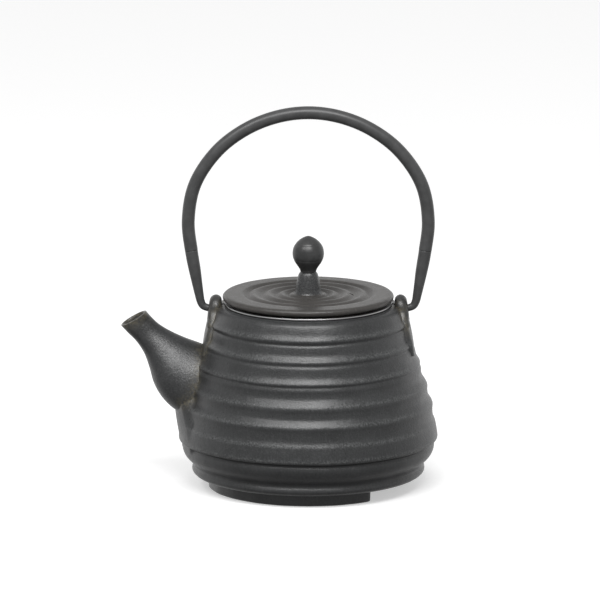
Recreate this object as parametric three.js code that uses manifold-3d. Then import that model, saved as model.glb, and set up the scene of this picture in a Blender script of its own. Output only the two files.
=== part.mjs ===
// A cast-iron teapot: ribbed pot with a spout and two ears, a bail handle hung in the ears,
// a ringed lid with an acorn knob, and a lift-out steel infuser.
//
// Millimetres, +Z up. The origin is the centre of the whole object's footprint box, at the level
// the foot stands on. The spout points to -X, so the pot's own axis lies beside the origin.
import * as THREE from 'three';
import { mergeVertices } from 'three/addons/utils/BufferGeometryUtils.js';
import Module from 'manifold-3d';

// ---------------------------------------------------------------- driving dimensions

const bellyRadius = 75; // the lowest and widest rib
const spoutReach = 107.8; // from the pot's axis to the tip of the spout
const potAxisX = (spoutReach - bellyRadius) / 2;

const rimHeight = 106.3; // top of the pot's rim
const rimRadius = 49;
const mouthRadius = 43.5; // the pot's opening, inside the rim
const baseHeight = 7; // underside of the pot's floor
const floorThickness = 3.6;
const wall = 3.2; // general thickness of the casting
const joinGap = 0.3; // kept between pieces that touch

const footOuterRadius = 58;
const footInnerRadius = 50;
const footArc = THREE.MathUtils.degToRad(120); // each of the two arcs that the pot stands on
const footStart = THREE.MathUtils.degToRad(8);

const pivotHeight = 104; // the ears' holes, where the handle turns
const earHoleRadius = 2.8;
const earInnerX = 50;
const earDepth = 7.4; // at the hole
const earLean = 0.148; // the outer face moves out by this much for each mm further down
const earHalfWidth = 7.8;
const earFootHalfWidth = 16;
const earFootHeight = 82;

const lidRadius = 49.2;
const lidTop = 112.7;
const lidUnderside = 109.2;
const lidSeat = 107.9; // the face that rests on the infuser's rim
const lidSkirtRadius = 39.5;
const lidSkirtBottom = 101;
const lidSkirtThickness = 2.8;
const ridgeRadii = [9.2, 15.2, 22.7, 31.8]; // crests of the rings on the lid
const valleyRadii = [12, 18.8, 27.2, 35.9];
const ridgeHeight = 1.1;
const ventRadius = 1.4;
const ventOffset = 25; // from the axis, on the side away from the spout
const pedestalTop = 125.1;

const screwRadius = 2;
const screwBore = 2.4;
const screwHeadRadius = 4;
const knobTop = 146.3;
const knobScrewDepth = 9;
const washerThickness = 0.8;

const handleTop = 222;
const handleRadius = 3.75;
const handleBore = 2.65;
const hookEndRadius = 2.05;
const hookLength = 42.8; // from the tip in the ear to the seam where the hook enters the tube
const spigotRadius = 2.2;
const spigotLength = 12;

const flangeRadius = 48.3; // the infuser's rim
const flangeTop = 107.6;
const flangeThickness = 1;
const basketRadius = 42;
const basketThickness = 0.8;
const basketBottom = 46;

const roundSides = 44;

// ---------------------------------------------------------------- helpers

const wasm = await Module();
wasm.setup();

// A closed three.js geometry as a manifold solid.
function solid(geometry) {
  const bare = geometry.clone();
  bare.deleteAttribute('normal');
  bare.deleteAttribute('uv');
  const merged = mergeVertices(bare, 1e-4);
  return new wasm.Manifold(new wasm.Mesh({
    numProp: 3,
    vertProperties: new Float32Array(merged.attributes.position.array),
    triVerts: new Uint32Array(merged.index.array),
  }));
}

// A manifold solid as a three.js geometry.
function geometryOf(manifold) {
  const mesh = manifold.getMesh();
  const geometry = new THREE.BufferGeometry();
  geometry.setAttribute('position', new THREE.BufferAttribute(new Float32Array(mesh.vertProperties), 3));
  geometry.setIndex(new THREE.BufferAttribute(new Uint32Array(mesh.triVerts), 1));
  geometry.computeVertexNormals();
  return geometry;
}

// A turned solid about +Z. The profile is [radius, height] pairs that go up the outside.
function turned(profile, sides = roundSides) {
  const points = profile.map(([radius, height]) => new THREE.Vector2(radius, height));
  return new THREE.LatheGeometry(points, sides).rotateX(Math.PI / 2);
}

// A turned solid with a hole through it: the profile closes on itself.
function turnedRing(profile, sides = roundSides) {
  return turned([...profile, profile[0]], sides);
}

// A closed skin over rows of points. place(row, angle, reach) gives a point: rows count from 0 to 1,
// and reach is 1 on the skin and 0 at the middle of each end.
function skin(rows, sides, place) {
  const geometry = new THREE.CylinderGeometry(1, 1, 1, sides, rows);
  const position = geometry.attributes.position;
  for (let i = 0; i < position.count; i += 1) {
    const onAxis = Math.hypot(position.getX(i), position.getZ(i)) < 0.5;
    const angle = Math.atan2(position.getX(i), position.getZ(i));
    const point = place(position.getY(i) + 0.5, angle, onAxis ? 0 : 1);
    position.setXYZ(i, point.x, point.y, point.z);
  }
  return geometry;
}

function lerp(a, b, t) {
  return a + (b - a) * t;
}

// Reads a table of [distance, value] pairs, straight between them.
function readTable(table, distance) {
  const next = table.findIndex(([at]) => at >= distance);
  if (next === 0) return table[0][1];
  if (next < 0) return table[table.length - 1][1];
  const [d0, v0] = table[next - 1];
  const [d1, v1] = table[next];
  return lerp(v0, v1, (distance - d0) / (d1 - d0));
}

function material(color, roughness, metalness) {
  return new THREE.MeshStandardMaterial({ color, roughness, metalness });
}

const teapot = new THREE.Group();
const pot = new THREE.Group();
pot.position.x = potAxisX;
teapot.add(pot);

function addPart(name, geometry, partMaterial) {
  const mesh = new THREE.Mesh(geometry, partMaterial);
  mesh.name = name;
  pot.add(mesh);
  return mesh;
}

// ---------------------------------------------------------------- the pot's casting
//
// The pot is cast in one piece with its spout, ears and foot. It is given here in six sections
// with a thin gap between them: two arcs of foot, the floor, the lower and upper wall, and the spout.

// Each rib flares outward on its way down to a crest, and is undercut just below it.
const ribs = [
  // crest radius and height, undercut radius and height, radius and height where the flare starts
  [bellyRadius, 31.2, 71, 26.5, 74.2, 34.4],
  [73.8, 38.2, 72.9, 36, 72.2, 43],
  [71.9, 48.8, 71, 46.8, 69, 54.6],
  [69.1, 59.3, 68.2, 57, 65.3, 67.4],
  [65.2, 72.5, 64.2, 71, 61.4, 79.2],
  [61.2, 85.2, 60.3, 82.9, 57.4, 91.4],
  [56.8, 96.8, 55.9, 94.2, 53.6, 101.6],
];

function outerProfile() {
  const belowRibs = [
    [0, baseHeight],
    [60, baseHeight],
    [64.6, 8.2],
    [66.4, 10.5],
    [66.6, 13],
    [66.2, 15.4],
    [67.8, 16],
    [71.2, 20],
    [72.5, 24],
    [72.3, 25.8],
  ];
  const ribPoints = ribs.flatMap(([crestR, crestZ, cutR, cutZ, startR, startZ]) => [
    [cutR, cutZ],
    [crestR, crestZ],
    [startR, startZ],
  ]);
  return [...belowRibs, ...ribPoints, [rimRadius, rimHeight - 0.8], [rimRadius - 0.8, rimHeight], [0, rimHeight]];
}

// The hollow follows the ribs at one wall thickness, and narrows to the mouth under the rim.
function cavityProfile() {
  const floor = baseHeight + floorThickness;
  const sides = ribs.map(([crestR, crestZ]) => [crestR - 1 - wall, crestZ]);
  return [
    [0, floor],
    [57, floor],
    [61.4, floor + 2],
    [63, floor + 5],
    [67.6, floor + 9.5],
    ...sides,
    [48.6, 98],
    [mouthRadius, 102],
    [mouthRadius, lidTop],
    [0, lidTop],
  ];
}

// The spout is a row of ovals. Each spans from a point on its lower outline to one on its upper
// outline, and the middle number is its half-width across.
const spoutLower = [
  [-107.8, 8, 94],
  [-103.8, 8, 89.8],
  [-99.2, 8.3, 85.1],
  [-94.6, 10, 78.1],
  [-91.5, 13, 69.5],
  [-89, 16.5, 60.6],
  [-84.2, 19, 52.2],
  [-76.8, 20, 45.2],
  [-66, 20, 41],
];
const spoutUpper = [
  [-93.4, 102.2],
  [-90.5, 98.9],
  [-86, 94.6],
  [-79.5, 90.5],
  [-71, 86.5],
  [-60.5, 82.5],
  [-51, 78],
  [-44, 72],
  [-38, 66],
];
const spoutRows = 14;
const spoutSides = 20;

// inset moves the skin inward, and the rows run from first to last.
function spoutSkin(inset, first, last) {
  const lower = new THREE.CatmullRomCurve3(spoutLower.map(([x, y, z]) => new THREE.Vector3(x, y, z)));
  const upper = new THREE.CatmullRomCurve3(spoutUpper.map(([x, z]) => new THREE.Vector3(x, 0, z)));
  return skin(spoutRows, spoutSides, (row, angle, reach) => {
    const t = lerp(last, first, row);
    const inRange = THREE.MathUtils.clamp(t, 0, 1);
    const low = lower.getPoint(inRange);
    const high = upper.getPoint(inRange);
    const halfWidth = low.y - inset;
    low.y = 0;
    const centre = low.clone().add(high).multiplyScalar(0.5);
    const span = high.clone().sub(low).multiplyScalar(0.5);
    const outward = new THREE.Vector3(-span.z, 0, span.x).normalize();
    centre.addScaledVector(outward, (inRange - t) * spoutReach);
    span.setLength(span.length() - inset);
    const across = new THREE.Vector3(0, halfWidth, 0);
    return centre.addScaledVector(span, reach * Math.cos(angle)).addScaledVector(across, reach * Math.sin(angle));
  });
}

// Below the spout a smooth apron runs down over the ribs. Each row is an oval lying flat, and
// the table gives how deep it is at each height.
const apronDepths = [[24.5, 10.7], [28, 11.4], [33.4, 13], [38, 13.8], [45.5, 14.9]];
const apronCentreX = -62;
const apronHalfWidth = 27;
const apronBottom = 24.5;
const apronTop = 47;

function apronSkin() {
  return skin(5, spoutSides, (row, angle, reach) => {
    const z = lerp(apronBottom, apronTop, row);
    const depth = readTable(apronDepths, z);
    return new THREE.Vector3(
      apronCentreX + reach * depth * Math.sin(angle),
      -reach * apronHalfWidth * Math.cos(angle),
      z,
    );
  });
}

// An ear: an arched plate whose outer face leans out towards its foot.
function earGeometry(turn) {
  const arch = new THREE.Shape();
  arch.moveTo(-earFootHalfWidth, earFootHeight);
  arch.lineTo(earFootHalfWidth, earFootHeight);
  arch.absarc(0, pivotHeight, earHalfWidth, 0, Math.PI);
  arch.closePath();
  const geometry = new THREE.ExtrudeGeometry(arch, { depth: 1, bevelEnabled: false, curveSegments: 8 });
  const position = geometry.attributes.position;
  for (let i = 0; i < position.count; i += 1) {
    const y = position.getX(i);
    const z = position.getY(i);
    const depth = earDepth + earLean * (pivotHeight - z);
    position.setXYZ(i, earInnerX + position.getZ(i) * depth, y, z);
  }
  return geometry.rotateZ(turn);
}

function earHole(turn) {
  const length = 14;
  return new THREE.CylinderGeometry(earHoleRadius, earHoleRadius, length, 20)
    .rotateZ(Math.PI / 2)
    .translate(earInnerX + length / 2, 0, pivotHeight)
    .rotateZ(turn);
}

function footGeometry(turn) {
  const arc = new THREE.Shape();
  arc.absarc(0, 0, footOuterRadius, footStart, footStart + footArc, false);
  arc.absarc(0, 0, footInnerRadius, footStart + footArc, footStart, true);
  arc.closePath();
  const extrusion = { depth: baseHeight - joinGap, bevelEnabled: false, curveSegments: 10 };
  return new THREE.ExtrudeGeometry(arc, extrusion).rotateZ(turn);
}

// The walls, spout and ears, hollowed out.
function hollowCasting() {
  const spoutWall = 2.3;
  const turns = [0, Math.PI];
  let casting = solid(turned(outerProfile()));
  casting = casting.add(solid(spoutSkin(0, 0, 1)));
  casting = casting.add(solid(apronSkin()));
  for (const turn of turns) casting = casting.add(solid(earGeometry(turn)));
  casting = casting.subtract(solid(turned(cavityProfile())));
  casting = casting.subtract(solid(spoutSkin(spoutWall, -0.05, 1)));
  for (const turn of turns) casting = casting.subtract(solid(earHole(turn)));
  return casting;
}

const reachOfAll = 130; // further out than any part of the pot
const spoutCut = 40.9; // just below the spout's root
const floorCut = baseHeight + floorThickness;

// Everything between two heights.
function slab(bottom, top) {
  return solid(turned([[0, bottom], [reachOfAll, bottom], [reachOfAll, top], [0, top]]));
}

// Everything on the spout's side of a slanted cut that lies just outside the ribs and the ear.
// It moves out by the offset.
function spoutSide(offset) {
  const outline = new THREE.Shape();
  outline.moveTo(-reachOfAll, spoutCut);
  outline.lineTo(-74.6 - offset, spoutCut);
  outline.lineTo(-62.4 - offset, 82.7);
  outline.lineTo(-62.4 - offset, 88);
  outline.lineTo(-75 - offset, 112);
  outline.lineTo(-reachOfAll, 112);
  outline.closePath();
  const geometry = new THREE.ExtrudeGeometry(outline, { depth: 2 * reachOfAll, bevelEnabled: false });
  return solid(geometry.rotateX(Math.PI / 2).translate(0, reachOfAll, 0));
}

const potIron = [0x3c3e3e, 0.72, 0.35];
const casting = hollowCasting();
const wallLower = casting.intersect(slab(floorCut + joinGap, spoutCut - joinGap));
const wallUpper = casting.intersect(slab(spoutCut, reachOfAll)).subtract(spoutSide(0));
const spout = casting.intersect(spoutSide(joinGap));
const floorProfile = [...outerProfile().filter(([, height]) => height < floorCut), [66.4, floorCut], [0, floorCut]];

addPart('pot_foot_back', footGeometry(0), material(...potIron));
addPart('pot_foot_front', footGeometry(Math.PI), material(...potIron));
addPart('pot_floor', turned(floorProfile), material(...potIron));
addPart('pot_wall_lower', geometryOf(wallLower), material(...potIron));
addPart('pot_wall_upper', geometryOf(wallUpper), material(...potIron));
addPart('pot_spout', geometryOf(spout), material(...potIron));

// ---------------------------------------------------------------- lid, knob and its screw

function lidProfile() {
  const rings = ridgeRadii.flatMap((crest, i) => [[valleyRadii[i], lidTop - ridgeHeight], [crest, lidTop]]);
  rings.sort((a, b) => b[0] - a[0]);
  return [
    [screwBore, lidUnderside],
    [lidSkirtRadius - lidSkirtThickness, lidUnderside],
    [lidSkirtRadius - lidSkirtThickness, lidSkirtBottom],
    [lidSkirtRadius, lidSkirtBottom],
    [lidSkirtRadius, lidSeat],
    [45.2, lidSeat],
    [45.8, 109],
    [48.4, 109],
    [lidRadius, 110],
    [lidRadius, lidTop - 1.2],
    [lidRadius - 1.2, lidTop],
    [38.2, lidTop],
    ...rings,
    [7.7, lidTop - ridgeHeight / 2],
    [6.9, 117],
    [6.1, 122.8],
    [4.85, pedestalTop],
    [screwBore, pedestalTop],
  ];
}

function lidGeometry() {
  const vent = new THREE.CylinderGeometry(ventRadius, ventRadius, 12, 16)
    .rotateX(Math.PI / 2)
    .translate(ventOffset, 0, lidTop);
  return geometryOf(solid(turnedRing(lidProfile())).subtract(solid(vent)));
}

function knobGeometry() {
  const bottom = pedestalTop + joinGap;
  const boreTop = pedestalTop + knobScrewDepth;
  return turned([
    [0, boreTop],
    [screwBore, boreTop],
    [screwBore, bottom],
    [4.85, bottom],
    [6.6, 127.2],
    [8.2, 130],
    [9, 132.6],
    [9.15, 134.8],
    [8.6, 137.6],
    [7.3, 140.4],
    [5.2, 143],
    [2.6, 145.2],
    [0, knobTop],
  ], 24);
}

function washerGeometry() {
  const top = lidUnderside - joinGap;
  return turnedRing([
    [screwBore, top - washerThickness],
    [5.2, top - washerThickness],
    [5.2, top],
    [screwBore, top],
  ], 24);
}

function screwGeometry() {
  const headTop = lidUnderside - 2 * joinGap - washerThickness;
  return turned([
    [0, headTop - 2.6],
    [screwHeadRadius - 1, headTop - 2.6],
    [screwHeadRadius, headTop - 1.4],
    [screwHeadRadius, headTop],
    [screwRadius, headTop],
    [screwRadius, pedestalTop + knobScrewDepth - joinGap],
    [0, pedestalTop + knobScrewDepth - joinGap],
  ], 20);
}

addPart('lid', lidGeometry(), material(0x484a48, 0.7, 0.35));
addPart('lid_knob', knobGeometry(), material(0x2e3030, 0.4, 0.3));
addPart('knob_washer', washerGeometry(), material(0xb8b8b4, 0.35, 0.9));
addPart('knob_screw', screwGeometry(), material(0xb0b0ac, 0.35, 0.9));

// ---------------------------------------------------------------- bail handle

// The right half of the handle's centreline, from its top down the leg, round the bend and
// into the ear: [x, height].
const handleHalf = [
  [0, handleTop - handleRadius],
  [18.3, 215.8],
  [36.2, 208.4],
  [52.6, 195.5],
  [65.1, 176.2],
  [68.9, 155],
  [67.2, 138],
  [65, 125.1],
  [62.7, 112],
  [61.9, 108.2],
  [60.5, 105.4],
  [57.6, pivotHeight + 0.1],
  [54.4, pivotHeight],
  [51.4, pivotHeight],
];
// A hook end's radius against the distance past the seam. It is slim where it enters the tube.
const hookRadii = [
  [-spigotLength, spigotRadius],
  [0, spigotRadius],
  [joinGap, 3.68],
  [8, 3.6],
  [13, 3.42],
  [27, 2.55],
  [36, hookEndRadius],
  [hookLength, hookEndRadius],
];

const mirroredHalf = handleHalf.slice(1).map(([x, z]) => [-x, z]).reverse();
const handleLine = new THREE.CatmullRomCurve3(
  [...mirroredHalf, ...handleHalf].map(([x, z]) => new THREE.Vector3(x, 0, z)),
);
const handleLength = handleLine.getLength();

// The stretch of the handle's centreline that lies between two distances from its left end.
class HandleStretch extends THREE.Curve {
  constructor(from, to) {
    super();
    this.from = from / handleLength;
    this.to = to / handleLength;
  }

  getPoint(t) {
    return handleLine.getPointAt(lerp(this.from, this.to, t));
  }
}

function handleTube() {
  const section = new THREE.Shape();
  section.absarc(0, 0, handleRadius, 0, 2 * Math.PI);
  const bore = new THREE.Path();
  bore.absarc(0, 0, handleBore, 0, 2 * Math.PI);
  section.holes.push(bore);
  return new THREE.ExtrudeGeometry(section, {
    steps: 36,
    curveSegments: 6,
    extrudePath: new HandleStretch(hookLength, handleLength - hookLength),
  });
}

function handleHook(turn) {
  const bendStart = 27;
  const bendSteps = 12;
  const distances = hookRadii.map(([distance]) => distance).filter((distance) => distance <= bendStart);
  for (let i = 1; i <= bendSteps; i += 1) distances.push(lerp(bendStart, hookLength, i / bendSteps));
  const rows = distances.length - 1;
  return skin(rows, 12, (row, angle, reach) => {
    const distance = distances[Math.round(row * rows)];
    const at = 1 - (hookLength - distance) / handleLength;
    const radius = reach * readTable(hookRadii, distance);
    const along = handleLine.getTangentAt(at);
    const side = new THREE.Vector3(along.z, 0, -along.x);
    return handleLine.getPointAt(at)
      .addScaledVector(side, radius * Math.cos(angle))
      .addScaledVector(new THREE.Vector3(0, 1, 0), radius * Math.sin(angle));
  }).rotateZ(turn);
}

const handleIron = [0x525452, 0.5, 0.5];
addPart('handle_tube', handleTube(), material(...handleIron));
addPart('handle_hook_right', handleHook(0), material(...handleIron));
addPart('handle_hook_left', handleHook(Math.PI), material(...handleIron));

// ---------------------------------------------------------------- infuser

const basketBase = basketBottom + flangeThickness;

function infuserRim() {
  const inner = basketRadius + joinGap;
  return turnedRing([
    [inner, flangeTop - flangeThickness],
    [flangeRadius, flangeTop - flangeThickness],
    [flangeRadius, flangeTop],
    [inner, flangeTop],
  ]);
}

function infuserWall() {
  return turnedRing([
    [basketRadius - basketThickness, basketBase + joinGap],
    [basketRadius, basketBase + joinGap],
    [basketRadius, flangeTop],
    [basketRadius - basketThickness, flangeTop],
  ]);
}

function infuserBase() {
  return turned([
    [0, basketBottom],
    [basketRadius, basketBottom],
    [basketRadius, basketBase],
    [0, basketBase],
  ]);
}

const stainless = [0xb9bab8, 0.3, 0.95];
addPart('infuser_rim', infuserRim(), material(...stainless));
addPart('infuser_wall', infuserWall(), material(...stainless));
addPart('infuser_base', infuserBase(), material(...stainless));

export default teapot;
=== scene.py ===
"""The looks of a cast-iron teapot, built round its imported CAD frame.

Outlines are written in millimetres about the pot's own upright axis, as [radius, height] or
[x, height] pairs, and mesh_object() turns them into metres and moves them to the frame's axis.
"""
import math

import bpy
import numpy as np
from mathutils import Matrix, Vector
from mathutils.kdtree import KDTree


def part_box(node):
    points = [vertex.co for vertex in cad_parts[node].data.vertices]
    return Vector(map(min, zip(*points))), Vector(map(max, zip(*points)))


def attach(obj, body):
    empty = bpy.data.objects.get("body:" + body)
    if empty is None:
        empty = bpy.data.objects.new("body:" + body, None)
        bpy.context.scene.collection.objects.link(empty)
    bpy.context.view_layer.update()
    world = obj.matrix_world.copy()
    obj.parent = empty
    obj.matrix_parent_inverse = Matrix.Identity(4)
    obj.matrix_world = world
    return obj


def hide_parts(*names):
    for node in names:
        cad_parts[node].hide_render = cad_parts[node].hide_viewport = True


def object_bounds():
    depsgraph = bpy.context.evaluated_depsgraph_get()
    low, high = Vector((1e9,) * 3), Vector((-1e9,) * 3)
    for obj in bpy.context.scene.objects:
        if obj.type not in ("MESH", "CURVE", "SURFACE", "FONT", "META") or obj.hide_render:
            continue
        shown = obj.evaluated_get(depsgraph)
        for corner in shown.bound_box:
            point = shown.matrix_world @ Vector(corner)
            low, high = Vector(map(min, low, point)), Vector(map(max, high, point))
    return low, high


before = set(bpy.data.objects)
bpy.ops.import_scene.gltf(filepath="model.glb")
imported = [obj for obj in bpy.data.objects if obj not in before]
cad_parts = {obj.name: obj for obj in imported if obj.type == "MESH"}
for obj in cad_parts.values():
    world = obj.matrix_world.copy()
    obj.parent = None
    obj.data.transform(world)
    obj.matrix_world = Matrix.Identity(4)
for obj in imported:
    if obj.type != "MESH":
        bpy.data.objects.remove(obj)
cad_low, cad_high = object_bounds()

MM = 0.001
lid_low, lid_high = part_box("lid")
AXIS_X = (lid_low[0] + lid_high[0]) / 2
POT_NODES = [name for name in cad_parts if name.startswith("pot_")]

# ------------------------------------------------------------------ dimensions, in millimetres

RIM_HEIGHT = 106.3
BASE_HEIGHT = 7
FOOT_OUTER, FOOT_INNER = 58, 50
FOOT_BURIED = 0.8  # how far the foot runs up into the pot's base
FOOT_START, FOOT_ARC = math.radians(8), math.radians(120)

PIVOT_HEIGHT = 104
EAR_INNER_X = 49.7
EAR_DEPTH = 7.7
EAR_LEAN = 0.148
EAR_HALF_WIDTH = 7.8
EAR_STANDS_OUT = 2.4  # the most that its foot stands out from the wall
# Half the ear's width at each height of its foot.
EAR_FLARE = [(79, 17), (84, 16.8), (88, 16.2), (92, 14.8), (96, 12.7), (99.5, 10.4), (102.2, 8.6)]
EAR_HOLE_RADIUS = 2.8
EAR_FILLET = 3.3

SPOUT_REACH = 107.8  # from the pot's axis to the spout's tip

LID_TOP = 112.7
LID_UNDERSIDE = 109.2
LID_RINGS_END = 38.4
RING_CRESTS = [9.2, 15.2, 22.7, 31.8]
RING_VALLEYS = [12, 18.8, 27.2, 35.9]
RING_DEPTH = 1.5
SCREW_BORE = 2.4
VENT_OFFSET = 25
VENT_RADIUS = 1.4
PEDESTAL_TOP = 125.1
KNOB_BORE_DEPTH = 9
KNOB_GROOVES = [(129.8, 0.07), (132.6, 0.14), (137.6, 0.05), (141.7, 0.11), (143.5, 0.07)]  # height, depth
KNOB_GROOVE_WIDTH = 0.28

WASHER_RADIUS = 5.2
WASHER_THICKNESS = 0.8
SCREW_HEAD_RADIUS = 4
SCREW_HEAD_HEIGHT = 2.6
SCREW_RADIUS = 2
THREAD_PITCH, THREAD_DEPTH = 0.7, 0.22
SLOT_HALF_WIDTH = 0.45

HANDLE_RADIUS = 3.75
HANDLE_BORE = 2.65
HANDLE_LIP = 0.14
HOOK_LENGTH = 42.8
SPIGOT_LENGTH = 12  # the part of a hook end that sits inside the tube
SPIGOT_RADIUS = 2.2

BASKET_RADIUS = 42
BASKET_THICKNESS = 0.8
BASKET_BOTTOM = 46
FLANGE_TOP = 107.6
FLANGE_RADIUS = 48.3
FLANGE_THICKNESS = 1
PERFORATION_RADIUS = 0.75
PERFORATION_ROWS, PERFORATIONS_AROUND = 15, 84
PERFORATION_RISE = 2.9  # between rows on the wall
PERFORATION_RINGS = 12
PERFORATION_SPACING = 3  # between rings on the base
JOIN_GAP = 0.3

# The casting's outside from the middle of its base up to its rim.
BELOW_RIBS = [
    (0, BASE_HEIGHT), (40, BASE_HEIGHT), (58, BASE_HEIGHT), (62, 7.1), (65, 7.9), (66.6, 9.2), (67, 10.4),
    (66.7, 11.6), (66.2, 12.6), (66.1, 13.4), (66.6, 14.5), (67.9, 15.9), (69.7, 17.7), (71.2, 19.6),
    (72.1, 21.6), (72.5, 23.4),
    (72.5, 24.6), (72.3, 25.4), (72, 26), (72.1, 26.5), (72.5, 27), (73.2, 27.4), (74, 27.9),
    (74.5, 28.5), (74.6, 29.3),
]
WAVE_RIBS = [
    (74.5, 30.4), (74.3, 32), (74, 34), (73.7, 35.6), (73.5, 36.7), (73.3, 37.6), (72.7, 39), (72.2, 40.2),
    (71.9, 41.4), (71.7, 43), (71.6, 44.8), (71.6, 46.4), (71.7, 47.6), (71.6, 48.5), (71, 49.7),
    (70, 51.2), (69.2, 52.5), (68.8, 53.6), (68.6, 55), (68.5, 56.6), (68.6, 57.9), (68.5, 59), (68, 60.2),
    (66.9, 62), (65.9, 63.6), (65.4, 64.8), (65.1, 66.2), (65, 67.6),
]
LIPPED_RIBS = [
    (65, 68.6), (64.7, 69.6), (64.4, 70.3), (64.2, 70.9), (64.3, 71.4), (64.5, 72), (64.4, 72.7),
    (63.9, 73.6), (63, 75), (62.4, 76.3), (61.9, 78), (61.5, 79.8),
    (61.2, 80.9), (60.8, 81.7), (60.5, 82.3), (60.4, 82.8), (60.5, 83.4), (60.6, 84.1), (60.3, 85),
    (59.4, 86.2), (58.5, 87.6), (58, 88.8), (57.6, 90.4), (57.2, 91.9),
    (56.9, 92.8), (56.5, 93.4), (56.3, 93.9), (56.4, 94.5), (56.7, 95.3), (56.7, 96.2), (56.2, 97.2),
    (55.2, 98.8), (54.6, 100.2), (54, 101.8), (53.4, 103.2),
]
RIM = [
    (52.8, 104.3), (51.6, 105.4), (50.2, 106.1), (48.6, RIM_HEIGHT), (46, RIM_HEIGHT), (0, RIM_HEIGHT),
]
# The hollow, from the middle of its floor up past the rim.
CAVITY = [
    (0, 10.6), (57, 10.6), (61.4, 12.6), (63, 15.6), (67.6, 20.1), (70, 26), (70.8, 31.2), (69.6, 38.2),
    (67.7, 48.8), (64.9, 59.3), (61, 72.5), (57, 85.2), (52.6, 96.8), (48.6, 98.6), (44.6, 100.6),
    (43.5, 102.4), (43.5, 105.4), (44.3, RIM_HEIGHT), (45, 107.4), (45, 112), (0, 112),
]
# The ribs' crests, where the coating is worn.
CRESTS = [(74.4, 29), (73.3, 37.8), (71.4, 49), (68.2, 59.8), (64.2, 73.1), (60, 85.4), (56.4, 96.8)]

SPOUT_FULLNESS = 0.3  # how much wider than an oval it is below its middle, and narrower above
# The spout's outlines run from its mouth to its root: [x, half-width across, height] below and
# [x, height] above.
SPOUT_LOWER = [
    (-SPOUT_REACH, 8, 94), (-103.8, 8, 89.8), (-99.2, 8.3, 85.1), (-94.6, 10, 78.1), (-91.5, 13, 69.5),
    (-89, 16.5, 60.6), (-84.2, 19, 52.2), (-76.8, 20, 45.2), (-66, 20, 41),
]
SPOUT_UPPER = [
    (-93.4, 102.2), (-90.5, 98.9), (-86, 94.6), (-79.5, 90.5), (-71, 86.5), (-60.5, 82.5), (-51, 78),
    (-44, 72), (-38, 66),
]
# The smooth apron below the spout at each height, seen from above: how far its middle, its corner and
# the foot of its side face reach from the pot's axis, and how far across the last two are.
APRON = np.array([
    # height, middle, corner, across, side's foot, across
    (24, 72.6, 67.5, 27, 66, 28.5), (28, 73.4, 68.2, 28, 66.8, 29.6), (33, 74.9, 69, 27.8, 68, 29.2),
    (38, 75.8, 69.9, 25.4, 67.7, 28.4), (43, 76.5, 71.1, 22.6, 67.3, 26.9), (48, 77, 72.3, 20.2, 66.8, 25),
    (54, 77.3, 74, 18, 65.4, 22), (60, 77.3, 74.6, 16.4, 63.5, 18.3),
])

# The right half of the handle's centreline, from its top to its tip in the ear, as [x, height].
HANDLE_HALF = [
    (0, 218.25), (18.3, 215.8), (36.2, 208.4), (52.6, 195.5), (65.1, 176.2), (68.9, 155), (67.2, 138),
    (65, 125.1), (62.7, 112), (61.9, 108.2), (60.5, 105.4), (57.6, 104.1), (54.4, 104), (51.4, 104),
]
# A hook end's radius against the distance past the seam.
HOOK_RADII = [
    (-SPIGOT_LENGTH, SPIGOT_RADIUS), (0, SPIGOT_RADIUS), (0.15, 3.7), (8, 3.6), (13, 3.42), (27, 2.55),
    (36, 2.05), (HOOK_LENGTH, 2.05),
]

# ------------------------------------------------------------------ meshes


def mesh_object(name, points, faces, sharp_angle=40):
    """A closed mesh from points in millimetres about the pot's axis, its faces turned outward."""
    points = np.asarray(points, float)
    mesh = bpy.data.meshes.new(name)
    moved = points * MM + np.array([AXIS_X, 0, 0])
    if signed_volume(points, faces) < 0:
        faces = [face[::-1] for face in faces]
    mesh.from_pydata(moved.tolist(), [], [list(face) for face in faces])
    piece = bpy.data.objects.new(name, mesh)
    bpy.context.scene.collection.objects.link(piece)
    return finish_shading(piece, sharp_angle)


def signed_volume(points, faces):
    """Six times the volume inside the faces, and below 0 if they face inward."""
    total = 0.0
    for face in faces:
        first = points[face[0]]
        for second, third in zip(face[1:-1], face[2:]):
            total += float(np.dot(first, np.cross(points[second], points[third])))
    return total


def smooth_line(points, steps):
    """A centripetal Catmull-Rom line through the points, with that many steps between each two."""
    points = np.asarray(points, float)
    ends = [2 * points[0] - points[1], *points, 2 * points[-1] - points[-2]]
    line = []
    for p0, p1, p2, p3 in zip(ends, ends[1:], ends[2:], ends[3:]):
        d0, d1, d2 = (max(np.linalg.norm(b - a) ** 0.5, 1e-4) for a, b in ((p0, p1), (p1, p2), (p2, p3)))
        m1 = ((p1 - p0) / d0 - (p2 - p0) / (d0 + d1) + (p2 - p1) / d1) * d1
        m2 = ((p2 - p1) / d1 - (p3 - p1) / (d1 + d2) + (p3 - p2) / d2) * d1
        for t in np.arange(steps) / steps:
            line.append(
                (2 * t**3 - 3 * t**2 + 1) * p1 + (t**3 - 2 * t**2 + t) * m1
                + (3 * t**2 - 2 * t**3) * p2 + (t**3 - t**2) * m2
            )
    line.append(points[-1])
    return np.array(line)


def rounded(corners, steps=4, closed=False):
    """A line through [x, y, fillet] corners, each rounded off over its fillet's length."""
    count = len(corners)
    line = []
    for i, corner in enumerate(corners):
        here = np.array(corner[:2], float)
        fillet = corner[2] if len(corner) > 2 else 0
        if fillet == 0 or (not closed and i in (0, count - 1)):
            line.append(here)
            continue
        before = np.array(corners[i - 1][:2], float) - here
        after = np.array(corners[(i + 1) % count][:2], float) - here
        start = here + before * min(fillet / np.linalg.norm(before), 0.49)
        end = here + after * min(fillet / np.linalg.norm(after), 0.49)
        for t in np.linspace(0, 1, steps + 1):
            line.append((1 - t) ** 2 * start + 2 * t * (1 - t) * here + t**2 * end)
    return np.array(line)


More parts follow.
